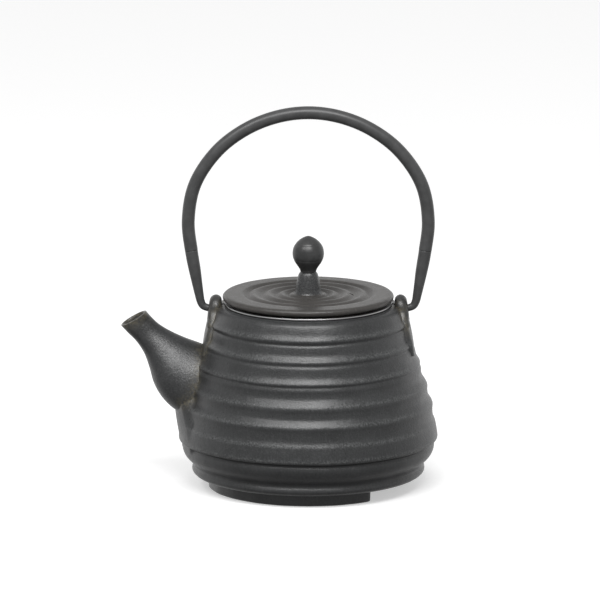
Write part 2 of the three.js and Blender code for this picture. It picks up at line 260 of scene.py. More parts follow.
def grid_faces(rows, columns, wrap_rows=False):
    """Quads over rows of points that close round their columns."""
    faces = []
    for i in range(rows if wrap_rows else rows - 1):
        below, above = i * columns, ((i + 1) % rows) * columns
        for j in range(columns):
            k = (j + 1) % columns
            faces.append((below + j, below + k, above + k, above + j))
    return faces


def closed_rows(rows):
    """Points and faces of a closed skin over rows of points, each end shut by a fan."""
    rows = np.asarray(rows, float)
    count, columns = rows.shape[:2]
    points = [*rows.reshape(-1, 3), rows[0].mean(axis=0), rows[-1].mean(axis=0)]
    faces = grid_faces(count, columns)
    first, last = count * columns, count * columns + 1
    top = (count - 1) * columns
    for j in range(columns):
        k = (j + 1) % columns
        faces.append((first, k, j))
        faces.append((last, top + j, top + k))
    return np.array(points), faces


def turned(name, profile, angles=None, sides=128, shape=None, sharp_angle=40):
    """A turned solid. A profile that starts and ends off the axis closes on itself."""
    profile = np.asarray(profile, float)
    if angles is None:
        angles = np.arange(sides) * 2 * math.pi / sides
    ring = profile[0][0] > 0.01
    inner = profile if ring else profile[1:-1]
    radius, height = (np.repeat(inner[:, i : i + 1], len(angles), axis=1) for i in (0, 1))
    angle = np.repeat(angles[None, :], len(inner), axis=0)
    if shape:
        radius, height = shape(radius, height, angle)
    rows = np.stack([radius * np.cos(angle), radius * np.sin(angle), height], axis=2)
    if ring:
        return mesh_object(name, rows.reshape(-1, 3), grid_faces(len(inner), len(angles), True), sharp_angle)
    points, faces = closed_rows(rows)
    points[-2] = (0, 0, profile[0][1])
    points[-1] = (0, 0, profile[-1][1])
    return mesh_object(name, points, faces, sharp_angle)


def combine(base, operation, tools):
    """Joins closed meshes to base, or cuts them from it, and removes them."""
    for tool in tools:
        step = base.modifiers.new("step", "BOOLEAN")
        step.operation = operation
        step.solver = "MANIFOLD"
        step.object = tool
        bpy.context.view_layer.update()
        shaped = base.evaluated_get(bpy.context.evaluated_depsgraph_get())
        mesh = bpy.data.meshes.new_from_object(shaped)
        base.modifiers.clear()
        base.data = mesh
        bpy.data.objects.remove(tool)
    return base


def finish_shading(piece, sharp_angle):
    """Shades a piece smooth, but for edges sharper than the angle in degrees."""
    piece.data.shade_smooth()
    piece.data.set_sharp_from_angle(angle=math.radians(sharp_angle))
    return piece


# ------------------------------------------------------------------ the pot's casting


def casting_wander(radius, height, angle):
    """Small slow unevenness of a sand casting: the ribs aren't quite level or quite round."""
    drop = 0.16 * np.sin(3 * angle + 0.7 + height / 31) + 0.09 * np.sin(8 * angle + height / 9)
    swell = 0.07 * np.sin(5 * angle + height / 7) + 0.05 * np.sin(17 * angle - height / 5)
    fade = np.clip((RIM_HEIGHT - height) / 6, 0, 1) * np.clip((height - BASE_HEIGHT) / 6, 0, 1)
    off_axis = np.clip(radius / 50, 0, 1)
    return radius + swell * fade * off_axis, height + drop * fade * off_axis


def apron_outline(height):
    """The apron's outline at one height, as angles from the spout's direction and radii."""
    middle, corner, corner_across, foot_reach, foot_across = (
        np.interp(height, APRON[:, 0], APRON[:, i]) for i in range(1, 6))
    share = np.linspace(0, 1, 12)
    into_wall = 0.4  # the side face runs on this share of its length past its foot
    inside_reach = foot_reach - into_wall * (corner - foot_reach)
    inside_across = foot_across + into_wall * (foot_across - corner_across)
    reach = np.array([*(middle - (middle - corner) * share**2), foot_reach, inside_reach])
    across = np.array([*(corner_across * share), foot_across, inside_across])
    return np.arctan2(across, reach), np.hypot(across, reach)


def apron_radius(height, angle):
    """How far the apron reaches from the pot's axis in each direction, or 0 beside it."""
    radius = np.zeros_like(height)
    from_spout = np.abs(np.abs(angle) - math.pi)
    from_spout = np.minimum(from_spout, np.abs(from_spout - 2 * math.pi))
    for i in range(len(height)):
        if APRON[0, 0] < height[i, 0] < APRON[-1, 0]:
            radius[i] = np.interp(from_spout[i], *apron_outline(height[i, 0]), right=0)
    return radius


def pot_outside(radius, height, angle):
    """The ribbed wall with the apron over it and a small fillet where they meet."""
    apron = apron_radius(height, angle)
    radius, height = casting_wander(radius, height, angle)
    blend = 0.7
    gap = radius - apron
    meets = np.clip(1 - np.abs(gap) / blend, 0, 1) * (apron > 0)
    return np.maximum(radius, apron) + meets**2 * blend / 4, height


def pot_angles():
    """Columns round the pot, closer together where the apron and the spout meet it."""
    fine = np.radians(np.arange(150, 210, 0.6))
    coarse = np.radians(np.arange(-150, 150, 1.5))
    return np.concatenate([coarse, fine])


def spout_rows(inset, stations, sides, squareness=2.2):
    """Ovals across the spout. A station is 0 at the mouth and 1 at the root, and below 0 beyond it."""
    steps = 12
    lower = smooth_line(SPOUT_LOWER, steps)
    upper = smooth_line([(x, 0, z) for x, z in SPOUT_UPPER], steps)
    whole = np.linspace(0, 1, len(lower))
    angle = np.arange(sides) * 2 * math.pi / sides
    along = np.sign(np.cos(angle)) * np.abs(np.cos(angle)) ** (2 / squareness)
    across = np.sign(np.sin(angle)) * np.abs(np.sin(angle)) ** (2 / squareness)
    rows = []
    for station, edge in zip(stations, np.broadcast_to(inset, len(stations))):
        at = min(max(station, 0), 1)
        fuller = SPOUT_FULLNESS * min(at / 0.12, 1)
        low = np.array([np.interp(at, whole, lower[:, i]) for i in range(3)])
        high = np.array([np.interp(at, whole, upper[:, i]) for i in range(3)])
        half_width = low[1] - edge
        low[1] = 0
        span = (high - low) / 2
        length = np.linalg.norm(span)
        outward = np.array([-span[2], 0, span[0]]) / length
        centre = (low + high) / 2 + outward * (at - station) * SPOUT_REACH
        span *= (length - edge) / length
        rows.append(
            centre + along[:, None] * span
            + (across * (1 - fuller * along))[:, None] * np.array([0, half_width, 0])
        )
    return rows


def spout_outside():
    """The solid spout, the edge of its mouth rounded off."""
    lip = 0.9
    lip_turns = np.linspace(math.pi / 2, 0, 5)
    stations = [lip / SPOUT_REACH * (1 - math.sin(a)) for a in lip_turns]
    insets = [lip * (1 - math.cos(a)) for a in lip_turns]
    more = np.linspace(stations[-1] + 0.008, 1, 84)
    stations = [*stations, *more]
    insets = [*insets, *[0] * len(more)]
    return mesh_object("spout", *closed_rows(spout_rows(insets, stations, 88)))


def spout_channel():
    """The spout's bore, a little wider at the mouth, where the edge is rounded off."""
    stations = [-0.05, -0.004, 0.004, 0.01, 0.02, *np.linspace(0.05, 1, 50)]
    insets = [0.6, 0.9, 1.3, 1.6, 1.8, *np.linspace(2.0, 2.4, 50)]
    return mesh_object("channel", *closed_rows(spout_rows(insets, stations, 64)))


def ear(turn):
    """An arched plate with well-rounded edges. Its foot flares and hugs the pot's wall."""
    arch = np.linspace(0, math.pi, 25)
    top = [(EAR_HALF_WIDTH * math.cos(a), PIVOT_HEIGHT + EAR_HALF_WIDTH * math.sin(a)) for a in arch]
    right = smooth_line([(y, z) for z, y in EAR_FLARE], 4)
    outline = np.array([*right, *top, *(right * (-1, 1))[::-1]])
    inward = -outline * (1, 0)
    above = outline[:, 1] > PIVOT_HEIGHT
    inward[above] = (0, PIVOT_HEIGHT) - outline[above]
    inward /= np.maximum(np.linalg.norm(inward, axis=1), 1e-6)[:, None]
    wall = np.array(LIPPED_RIBS + RIM[:4])
    turns = np.linspace(0, math.pi / 2, 7)
    stages = [(EAR_FILLET * (1 - math.cos(a)), EAR_FILLET * (1 - math.sin(a))) for a in turns]
    rows = []
    for far, side in ((0, stages), (1, stages[::-1])):
        for from_face, inset in side:
            edge = outline + inward * inset
            depth = EAR_DEPTH + EAR_LEAN * (PIVOT_HEIGHT - edge[:, 1])
            x = EAR_INNER_X + far * depth + (from_face if far == 0 else -from_face)
            hugging = np.interp(edge[:, 1], wall[:, 1], wall[:, 0]) + EAR_STANDS_OUT - from_face
            limit = np.sqrt(np.maximum(hugging**2 - edge[:, 0] ** 2, 0))
            low = np.clip((PIVOT_HEIGHT - 3 - edge[:, 1]) / 5, 0, 1)
            x = np.minimum(x, x + (limit - x) * low)
            rows.append(np.stack([x, edge[:, 0], edge[:, 1]], axis=1))
    rows = np.array(rows)
    rows[:, :, :2] *= turn
    return mesh_object("ear", *closed_rows(rows))


def ear_hole(turn):
    """A pin along X through the ear, to cut its hole with."""
    sides, start, length = 40, EAR_INNER_X - 2, 14
    angle = np.arange(sides) * 2 * math.pi / sides
    y, z = EAR_HOLE_RADIUS * np.cos(angle), PIVOT_HEIGHT + EAR_HOLE_RADIUS * np.sin(angle)
    rows = [np.stack([np.full(sides, turn * x), y, z], axis=1) for x in (start, start + length)]
    return mesh_object("ear_hole", *closed_rows(rows))


def foot(turn):
    """One arc of the ring foot, its lower edges worn round."""
    top = BASE_HEIGHT + FOOT_BURIED
    section = rounded(
        [(FOOT_INNER, 0, 1), (FOOT_OUTER, 0, 1.4), (FOOT_OUTER + 0.4, top), (FOOT_INNER - 0.4, top)],
        closed=True,
    )
    rows = []
    for a in FOOT_START + turn + np.linspace(0, FOOT_ARC, 100):
        wander = 0.12 * math.sin(9 * a) + 0.08 * math.sin(23 * a)
        radius = section[:, 0] + wander * np.sign(section[:, 0] - (FOOT_INNER + FOOT_OUTER) / 2)
        rows.append(np.stack([radius * math.cos(a), radius * math.sin(a), section[:, 1]], axis=1))
    for end, beside in ((0, 1), (-1, -2)):
        centre = rows[end].mean(axis=0)
        rows[end] = centre + (rows[end] - centre) * 0.93
        rows[end][:, 2] = np.where(rows[end][:, 2] > 6, rows[beside][:, 2], rows[end][:, 2])
    return mesh_object("foot", *closed_rows(rows))


def pot_casting():
    outline = BELOW_RIBS + WAVE_RIBS + LIPPED_RIBS + RIM
    flat = smooth_line(outline[2:-1], 2)
    profile = [outline[0], outline[1], *flat, outline[-1]]
    casting = turned("pot_casting", profile, angles=pot_angles(), shape=pot_outside)
    combine(casting, "UNION", [spout_outside(), ear(1), ear(-1), foot(0), foot(math.pi)])
    cavity = smooth_line(CAVITY[1:-2], 4)
    hollow = turned("cavity", [CAVITY[0], *cavity, CAVITY[-2], CAVITY[-1]], sides=144)
    combine(casting, "DIFFERENCE", [hollow, spout_channel(), ear_hole(1), ear_hole(-1)])
    return finish_shading(casting, 42)


# ------------------------------------------------------------------ lid, knob and its screw


def lid_outline():
    """The lid's half section: underside, skirt, seat, edge, rings and the knob's pedestal."""
    crests = [(r, 0) for r in [*RING_CRESTS, LID_RINGS_END]]
    turns = sorted(crests + [(r, RING_DEPTH) for r in RING_VALLEYS])
    rings = []
    for (r0, d0), (r1, d1) in zip(turns, turns[1:]):
        for t in np.linspace(0, 1, 8)[:-1]:
            ease = (1 - math.cos(math.pi * t)) / 2
            rings.append((r0 + (r1 - r0) * t, LID_TOP - d0 - (d1 - d0) * ease))
    rings.append((LID_RINGS_END, LID_TOP))
    edge = rounded([
        (SCREW_BORE, LID_UNDERSIDE), (36.7, LID_UNDERSIDE, 2), (36.7, 101, 0.9), (39.5, 101, 0.9),
        (39.5, 107.9, 1.2), (45.2, 107.9, 0.4), (45.8, 109, 0.4), (48.6, 109, 0.9), (49.2, 110.2, 0.5),
        (49.15, 111.3, 0.5), (48.1, 112.5, 0.9), (46.3, LID_TOP, 0.8), (44, 112.65), (41, LID_TOP),
    ])
    neck = smooth_line([
        (RING_CRESTS[0], LID_TOP), (8.5, LID_TOP - 0.25), (7.9, 112.9), (7.35, 114.4), (6.95, 116.8),
        (6.5, 119.6), (5.95, 122.3), (5.3, 124.2), (4.7, PEDESTAL_TOP - 0.1),
    ], 4)
    return [*edge, *rings[:0:-1], *neck, (SCREW_BORE, PEDESTAL_TOP)]


def lid_wander(radius, height, angle):
    """Unevenness of the lid's edge, its pedestal and its rings."""
    swell = 0.05 * np.sin(7 * angle + radius) + 0.04 * np.sin(19 * angle)
    lumps = 0.05 * np.sin(2 * angle + 1) + 0.03 * np.sin(5 * angle + 0.4 * height)
    waves = 0.06 * np.sin(5 * angle + radius / 3)
    edge = radius > 45
    neck = (height > 113) & (radius < 9) & (radius > SCREW_BORE + 0.1) & (height < 125)
    rings = (height > 111) & (radius > 9) & (radius < 40)
    return radius + lumps * neck + swell * edge, height + waves * rings


def lid_casting():
    lid = turned("lid_casting", lid_outline(), sides=220, shape=lid_wander)
    low, high = LID_UNDERSIDE - 4.2, LID_TOP + 0.7
    vent = turned("vent", [
        (0, low), (VENT_RADIUS - 0.2, low), (VENT_RADIUS - 0.1, 112), (VENT_RADIUS + 0.5, high), (0, high),
    ], sides=28)
    vent.data.transform(Matrix.Translation((VENT_OFFSET * MM, 0, 0)))
    return finish_shading(combine(lid, "DIFFERENCE", [vent]), 42)


def knob():
    """The acorn, with fine turned grooves round it and a blind bore for its screw."""
    bottom = PEDESTAL_TOP + JOIN_GAP
    bore_end = PEDESTAL_TOP + KNOB_BORE_DEPTH
    outline = smooth_line([
        (4.5, bottom), (4.7, 126.3), (5.1, 127.2), (6, 128.6), (7.2, 130.3), (8.3, 132.3), (8.9, 134.4),
        (9.05, 136.5), (8.75, 138.6), (8.1, 140.3), (7.1, 141.9), (5.8, 143.3), (4.3, 144.5), (2.7, 145.4),
        (1.3, 146), (0, 146.3),
    ], 8)
    radius, height = outline[:, 0], outline[:, 1]
    for groove, depth in KNOB_GROOVES:
        radius = radius - depth * np.exp(-(((height - groove) / KNOB_GROOVE_WIDTH) ** 2))
    outside = list(zip(np.maximum(radius, 0), height))
    bore = [(0, bore_end), (SCREW_BORE, bore_end), (SCREW_BORE, bottom)]
    return turned("acorn_knob", [*bore, *outside], sides=96)


def flat_ring(name, inner, outer, bottom, top, inner_edge, outer_edge, sides):
    """A flat ring with its inner and outer edges rounded off by as much as is given for each."""
    corners = [(inner, bottom, inner_edge), (outer, bottom, outer_edge), (outer, top, outer_edge),
               (inner, top, inner_edge)]
    return turned(name, rounded(corners, closed=True), sides=sides)


def washer():
    top = LID_UNDERSIDE - JOIN_GAP
    bottom = top - WASHER_THICKNESS
    return flat_ring("knob_washer_disc", SCREW_BORE, WASHER_RADIUS, bottom, top, 0.15, 0.3, sides=72)


def screw():
    """A slotted pan-head screw, head down, its thread cut as grooves round it."""
    top = LID_UNDERSIDE - 2 * JOIN_GAP - WASHER_THICKNESS
    end = PEDESTAL_TOP + KNOB_BORE_DEPTH - JOIN_GAP
    plain = 1.2  # the length without thread at each end of the shank
    head = rounded([
        (0, top - SCREW_HEAD_HEIGHT), (2.6, top - 2.5, 0.5), (3.9, top - 1.3, 0.7),
        (SCREW_HEAD_RADIUS, top, 0.2), (SCREW_RADIUS, top, 0.2),
    ])
    thread = []
    z = top + plain
    while z < end - plain:
        thread += [(SCREW_RADIUS, z), (SCREW_RADIUS - THREAD_DEPTH, z + THREAD_PITCH / 2)]
        z += THREAD_PITCH
    shank = [*thread, (SCREW_RADIUS, z), (1.4, end - 0.1), (0, end)]
    body = turned("knob_screw_steel", [*head, *shank], sides=48)
    reach = SCREW_HEAD_RADIUS + 1
    slot_rows = [
        [(-reach, -SLOT_HALF_WIDTH, z), (reach, -SLOT_HALF_WIDTH, z), (reach, SLOT_HALF_WIDTH, z),
         (-reach, SLOT_HALF_WIDTH, z)]
        for z in (top - 4, top - 1.5)
    ]
    slot = mesh_object("slot", *closed_rows(slot_rows))
    return finish_shading(combine(body, "DIFFERENCE", [slot]), 35)


# ------------------------------------------------------------------ bail handle


def handle_line():
    """The handle's whole centreline, from its left end, and the distance run along it."""
    whole = smooth_line([(-x, z) for x, z in HANDLE_HALF[:0:-1]] + HANDLE_HALF, 40)
    step = np.linalg.norm(np.diff(whole, axis=0), axis=1)
    return whole, np.concatenate([[0], np.cumsum(step)])


def handle_frames(distances):
    """Centre and sideways direction of the handle's centreline at distances from its left end."""
    line, run = handle_line()
    distances = np.asarray(distances)
    before, centre, after = (
        np.stack([np.interp(distances + shift, run, line[:, i]) for i in (0, 1)], axis=1)
        for shift in (-0.2, 0, 0.2))
    along = after - before
    along /= np.linalg.norm(along, axis=1)[:, None]
    return centre, np.stack([along[:, 1], -along[:, 0]], axis=1)


def swept_rows(distances, radii, sides):
    """Circles round the handle's centreline."""
    centre, side = handle_frames(distances)
    angle = np.arange(sides) * 2 * math.pi / sides
    rows = []
    for c, s, radius in zip(centre, side, radii):
        x = c[0] + s[0] * radius * np.cos(angle)
        z = c[1] + s[1] * radius * np.cos(angle)
        rows.append(np.stack([x, radius * np.sin(angle), z], axis=1))
    return rows


def handle_tube():
    """The hollow tube between the two seams, the rims of its ends rounded off."""
    length = handle_line()[1][-1]
    start, end = HOOK_LENGTH, length - HOOK_LENGTH
    lip = [
        (start + HANDLE_LIP * (1 - math.sin(a)), HANDLE_RADIUS - HANDLE_LIP * (1 - math.cos(a)))
        for a in np.linspace(math.pi / 2, 0, 4)
    ]
    outer = lip + [(d, HANDLE_RADIUS) for d in np.linspace(start + 1, end - 1, 220)]
    outer += [(start + end - d, radius) for d, radius in lip[::-1]]
    inner = [(d, HANDLE_BORE) for d in np.linspace(end, start, 80)]
    path = outer + inner
    sides = 48
    rows = swept_rows([d for d, _ in path], [radius for _, radius in path], sides)
    return mesh_object("bail_tube", np.concatenate(rows), grid_faces(len(rows), sides, True))


def handle_hook(turn):
    """A hook end: a spigot inside the tube, a tapering leg, and a bend into the ear's hole."""
    length = handle_line()[1][-1]
    table = np.array(HOOK_RADII)
    past = np.concatenate([
        [-SPIGOT_LENGTH, 0.4 - SPIGOT_LENGTH, 0, 0.15, 0.3], np.linspace(1, HOOK_LENGTH - 0.6, 90),
        [HOOK_LENGTH - 0.3, HOOK_LENGTH],
    ])
    radii = np.interp(past, table[:, 0], table[:, 1])
    smooth = np.convolve(np.pad(radii, 3, "edge"), np.ones(7) / 7, "valid")
    radii = np.where(past > 4, smooth, radii)
    radii[0] = SPIGOT_RADIUS - 0.3
    radii[3] -= 0.1
    radii[-2] = radii[-3] - 0.15
    radii[-1] = radii[-3] - 0.6
    rows = np.array(swept_rows([length - HOOK_LENGTH + d for d in past], radii, 40))
    rows[:, :, :2] *= turn
    return mesh_object("bail_hook_right" if turn > 0 else "bail_hook_left", *closed_rows(rows))


# ------------------------------------------------------------------ infuser


def perforate(piece, places):
    """Cuts a round hole through piece at each (point, direction)."""
    sides, depth = 8, 1.5
    points, faces = [], []
    for point, direction in places:
        point, direction = np.array(point, float), np.array(direction, float)
        side = np.cross(direction, (0, 0, 1) if abs(direction[2]) < 0.9 else (1, 0, 0))
        side /= np.linalg.norm(side)
        other = np.cross(direction, side)
        start = len(points)
        for reach in (-depth, depth):
            for k in range(sides):
                a = k * 2 * math.pi / sides
                outward = side * math.cos(a) + other * math.sin(a)
                points.append(point + direction * reach + PERFORATION_RADIUS * outward)
        for k in range(sides):
            n = (k + 1) % sides
            faces.append((start + k, start + n, start + sides + n, start + sides + k))
        faces.append(tuple(start + k for k in range(sides))[::-1])
        faces.append(tuple(start + sides + k for k in range(sides)))
    return finish_shading(combine(piece, "DIFFERENCE", [mesh_object("holes", points, faces)]), 30)


def infuser_rim():
    inner, bottom = BASKET_RADIUS + JOIN_GAP, FLANGE_TOP - FLANGE_THICKNESS
    return flat_ring("infuser_rim_ring", inner, FLANGE_RADIUS, bottom, FLANGE_TOP, 0.3, 0.4, sides=200)


def infuser_wall():
    bottom, inner = BASKET_BOTTOM + FLANGE_THICKNESS + JOIN_GAP, BASKET_RADIUS - BASKET_THICKNESS
    wall = flat_ring(
        "infuser_wall_mesh", inner, BASKET_RADIUS, bottom, FLANGE_TOP, 0.2, 0.2, sides=120)
    middle = (inner + BASKET_RADIUS) / 2
    places = []
    for i in range(PERFORATION_ROWS):
        z = bottom + 5 + i * PERFORATION_RISE
        for j in range(PERFORATIONS_AROUND):
            a = (j + (i % 2) / 2) * 2 * math.pi / PERFORATIONS_AROUND
            places.append(((middle * math.cos(a), middle * math.sin(a), z), (math.cos(a), math.sin(a), 0)))
    return perforate(wall, places)


def infuser_base():
    top = BASKET_BOTTOM + FLANGE_THICKNESS
    corners = [(0, BASKET_BOTTOM), (BASKET_RADIUS, BASKET_BOTTOM, 0.4), (BASKET_RADIUS, top, 0.3), (0, top)]
    base = turned("infuser_base_mesh", rounded(corners), sides=120)
    middle = (BASKET_BOTTOM + top) / 2
    places = [((0, 0, middle), (0, 0, 1))]
    for ring in range(1, PERFORATION_RINGS + 1):
        radius = PERFORATION_SPACING * ring
        for k in range(6 * ring):
            a = (k + 0.5 * (ring % 2)) * 2 * math.pi / (6 * ring)
            places.append(((radius * math.cos(a), radius * math.sin(a), middle), (0, 0, 1)))
    return perforate(base, places)


# ------------------------------------------------------------------ surface masks


def mesh_points(piece):
    """The mesh's points in millimetres about the pot's axis."""
    points = np.zeros(len(piece.data.vertices) * 3)
    piece.data.vertices.foreach_get("co", points)
    return (points.reshape(-1, 3) - np.array([AXIS_X, 0, 0])) / MM


def set_mask(piece, name, values):
    """Gives each point of the mesh a value that a material can read by its name."""
    mask = piece.data.attributes.new(name, "FLOAT", "POINT")
    mask.data.foreach_set("value", np.asarray(values, np.float32))


def mark_crests(piece):
    """The coating is rubbed bright along the crests of the ribs."""
    points = mesh_points(piece)
    radius = np.hypot(points[:, 0], points[:, 1])
    worn = np.zeros(len(points))
    for crest, height in CRESTS:
        near = np.exp(-(((points[:, 2] - height - 0.5) / 1.1) ** 2)) * (np.abs(radius - crest) < 1.5)
        worn = np.maximum(worn, near)
    set_mask(piece, "crest", worn)


def mark_joint_dust_and_highlight(piece):
    """The inner corners where the spout and the ears leave the pot turn light yellow-brown: partly
    rust-dust, partly a painted highlight on the fillets.
    """
    points = mesh_points(piece)
    mesh = piece.data
    normals = np.zeros(len(mesh.polygons) * 3)
    mesh.polygons.foreach_get("normal", normals)
    normals = normals.reshape(-1, 3)
    sides = {}
    for face in mesh.polygons:
        for key in face.edge_keys:
            sides.setdefault(key, []).append(face.index)
    seeds = []
    for (a, b), faces in sides.items():
        middle = (points[a] + points[b]) / 2
        by_spout = -76 < middle[0] < -45 and middle[2] > 50 and abs(middle[1]) > 4
        by_ear = abs(middle[0]) > 48 and abs(middle[1]) < 13 and 80 < middle[2] < 106
        if len(faces) == 2 and (by_spout or by_ear) and np.hypot(middle[0], middle[1]) > 47:
            if np.dot(normals[faces[0]], normals[faces[1]]) < 0.86:
                seeds.append(middle)
    tree = KDTree(len(seeds))
    for i, seed in enumerate(seeds):
        tree.insert(seed, i)
    tree.balance()
    distance = np.array([tree.find(point)[2] for point in points])
    set_mask(piece, "joint", np.exp(-((distance / 3.2) ** 1.5)))


def enamel_inside(piece):
    """Gives the faces of the hollow the second material."""
    hollow = np.array(CAVITY[:-3])
    points = mesh_points(piece)
    for face in piece.data.polygons:
        middle = points[list(face.vertices)].mean(axis=0)
        if not 10.2 < middle[2] < 105.5:
            continue
        reach = np.interp(middle[2], hollow[1:, 1], hollow[1:, 0])
        if np.hypot(middle[0], middle[1]) < reach + 0.45:
            face.material_index = 1


def pedestal_with_painted_highlight(piece):
    """Gives the faces of the knob's pedestal the second material, a lighter iron whose lightness is painted
    highlight.
    """
    points = mesh_points(piece)
    for face in piece.data.polygons:
        middle = points[list(face.vertices)].mean(axis=0)
        if middle[2] > LID_TOP + 0.2 and np.hypot(middle[0], middle[1]) < 8.6:
            face.material_index = 1


# ------------------------------------------------------------------ materials


class Finish:
    """One material's node tree, built a call at a time. Sizes are in millimetres."""

    def __init__(self, name, **sockets):
        self.material = bpy.data.materials.new(name)
        self.material.use_nodes = True
        self.tree = self.material.node_tree
        self.shader = self.tree.nodes["Principled BSDF"]
        self.place = self.add("ShaderNodeTexCoord").outputs["Object"]
        self.set(self.shader, {key.replace("_", " "): value for key, value in sockets.items()})

    def set(self, node, inputs):
        """Links each socket that is given, and sets each plain value."""
        for key, value in inputs.items():
            if isinstance(value, bpy.types.NodeSocket):
                self.tree.links.new(value, node.inputs[key])
            else:
                node.inputs[key].default_value = value

    def add(self, kind, inputs=None, **settings):
        node = self.tree.nodes.new(kind)
        for key, value in settings.items():
            setattr(node, key, value)
        self.set(node, inputs or {})
        return node

    def noise(self, size, detail=2, rough=0.5, vector=None):
        inputs = {"Vector": vector or self.place, "Scale": 1 / (size * MM)}
        inputs.update({"Detail": detail, "Roughness": rough})
        return self.add("ShaderNodeTexNoise", inputs).outputs["Fac"]

    def ramp(self, value, low, high, to_low=0.0, to_high=1.0):
        inputs = {"Value": value, "From Min": low, "From Max": high, "To Min": to_low, "To Max": to_high}
        return self.add("ShaderNodeMapRange", inputs).outputs["Result"]

    def math(self, operation, a, b):
        return self.add("ShaderNodeMath", {0: a, 1: b}, operation=operation).outputs[0]

    def times(self, a, b):
        return self.math("MULTIPLY", a, b)

    def mix(self, factor, a, b):
        return self.add("ShaderNodeMix", {0: factor, 6: a, 7: b}, data_type="RGBA").outputs[2]

    def mask(self, name):
        return self.add("ShaderNodeAttribute", attribute_name=name).outputs["Fac"]

    def bump(self, height, depth, strength=1.0, under=None):
        inputs = {"Height": height, "Distance": depth * MM, "Strength": strength}
        if under:
            inputs["Normal"] = under
        return self.add("ShaderNodeBump", inputs).outputs["Normal"]

    def round_the_axis(self, along):
        """A place that runs round the pot's axis, squeezed along Z so that a noise on it makes streaks."""
        parts = self.add("ShaderNodeSeparateXYZ", {0: self.place})
        beside = self.math("SUBTRACT", parts.outputs[0], AXIS_X)
        angle = self.math("ARCTAN2", parts.outputs[1], beside)
        arc = self.times(angle, 60 * MM)
        return self.add("ShaderNodeCombineXYZ", {0: arc, 2: self.times(parts.outputs[2], along)}).outputs[0]


RUBBED_IRON = (0.13, 0.135, 0.135, 1)
BARE_IRON = (0.3, 0.3, 0.29, 1)
# Rust-dust and painted highlight: the light yellow-brown of the corners by the spout and the ears.
RUST_DUST_AND_HIGHLIGHT = (0.15, 0.128, 0.078, 1)


def grey(value, warm=0.0):
    """A grey, turned towards brown if warm is above 0 and towards blue if it is below."""
    return (value * (1 + warm), value, value * (1 - warm), 1)


def cast_iron(name, dark=0.022, light=0.034, roughness=(0.27, 0.42), warm=0.0, masks=True):
    """A matt black-grey coating over sand-cast iron. Masks add worn ribs, streaks, and corners made light
    yellow-brown partly by rust-dust and partly by painted highlight.
    """
    iron = Finish(name, Metallic=0.0, IOR=1.5, Specular_IOR_Level=0.62)
    patches = iron.ramp(iron.noise(16, 4, 0.6), 0.3, 0.7)
    grain = iron.noise(1.05, 3, 0.62)
    fine = iron.noise(0.45, 2, 0.5)
    colour = iron.mix(patches, grey(dark, warm), grey(light, warm))
    colour = iron.mix(iron.times(iron.ramp(grain, 0.5, 0.72), 0.5), colour, grey(light * 1.9, warm))
    if masks:
        streaks = iron.noise(0.8, 2, 0.5, iron.round_the_axis(0.12))
        crest = iron.mask("crest")
        rubbed = iron.times(crest, iron.ramp(grain, 0.42, 0.62))
        colour = iron.mix(iron.times(rubbed, 0.5), colour, RUBBED_IRON)
        specks = iron.times(iron.times(crest, patches), iron.ramp(iron.noise(0.8, 1, 0.5), 0.68, 0.76))
        colour = iron.mix(iron.times(specks, 0.6), colour, BARE_IRON)
        colour = iron.mix(iron.times(iron.ramp(streaks, 0.45, 0.75), 0.28), colour, grey(light * 1.7, 0.0))
        # Painted highlight and rust-dust in the corners by the spout and the ears.
        dust_and_highlight = iron.times(iron.mask("joint"), iron.ramp(iron.noise(1.6, 3, 0.6), 0.35, 0.65))
        colour = iron.mix(iron.times(dust_and_highlight, 0.55), colour, RUST_DUST_AND_HIGHLIGHT)
    rough = iron.ramp(grain, 0.3, 0.7, *roughness)
    normal = iron.bump(grain, 0.3, 0.48)
    normal = iron.bump(fine, 0.14, 0.5, normal)
    normal = iron.bump(iron.noise(7, 2, 0.5), 0.8, 0.25, normal)
    iron.set(iron.shader, {"Base Color": colour, "Roughness": rough, "Normal": normal})
    return iron.material


def enamel():
    """Black glassy enamel inside the pot, with a slight orange-peel."""
    coat = Finish("black_enamel", IOR=1.5, Specular_IOR_Level=0.5, Coat_Weight=0.6, Coat_Roughness=0.08)
    colour = coat.mix(coat.ramp(coat.noise(9, 3), 0.35, 0.65), grey(0.012), grey(0.02))
    rough = coat.ramp(coat.noise(2.5, 2), 0.3, 0.7, 0.16, 0.26)
    normal = coat.bump(coat.noise(3.2, 1), 0.4, 0.35)
    coat.set(coat.shader, {"Base Color": colour, "Roughness": rough, "Normal": normal})
    return coat.material


def satin_paint(name, dark, light, roughness, flecked=0.35):
    """Smooth satin paint, with faint rub marks and flecks."""
    paint = Finish(name, IOR=1.5, Specular_IOR_Level=0.55)
    rubs = paint.noise(5, 4, 0.62)
    colour = paint.mix(paint.ramp(rubs, 0.35, 0.65), grey(dark, -0.01), grey(light, -0.01))
    flecks = paint.ramp(paint.noise(0.9, 2, 0.6), 0.68, 0.76)
    colour = paint.mix(paint.times(flecks, flecked), colour, grey(0.16, -0.01))
    rough = paint.ramp(rubs, 0.3, 0.7, *roughness)
    normal = paint.bump(paint.noise(1.2, 2), 0.05, 0.2)
    paint.set(paint.shader, {"Base Color": colour, "Roughness": rough, "Normal": normal})
    return paint.material


def steel(name, tone, roughness, lines=0.25):
    """Bright steel with fine turning lines round its axis."""
    metal = Finish(name, Metallic=1.0)
    streaks = metal.noise(lines, 2, 0.6, metal.round_the_axis(8))
    colour = metal.mix(metal.ramp(streaks, 0.3, 0.7), grey(tone * 0.86), grey(tone))
    rough = metal.ramp(streaks, 0.3, 0.7, *roughness)
    normal = metal.bump(streaks, 0.03, 0.3)
    metal.set(metal.shader, {"Base Color": colour, "Roughness": rough, "Normal": normal})
    return metal.material


# ------------------------------------------------------------------ the pieces


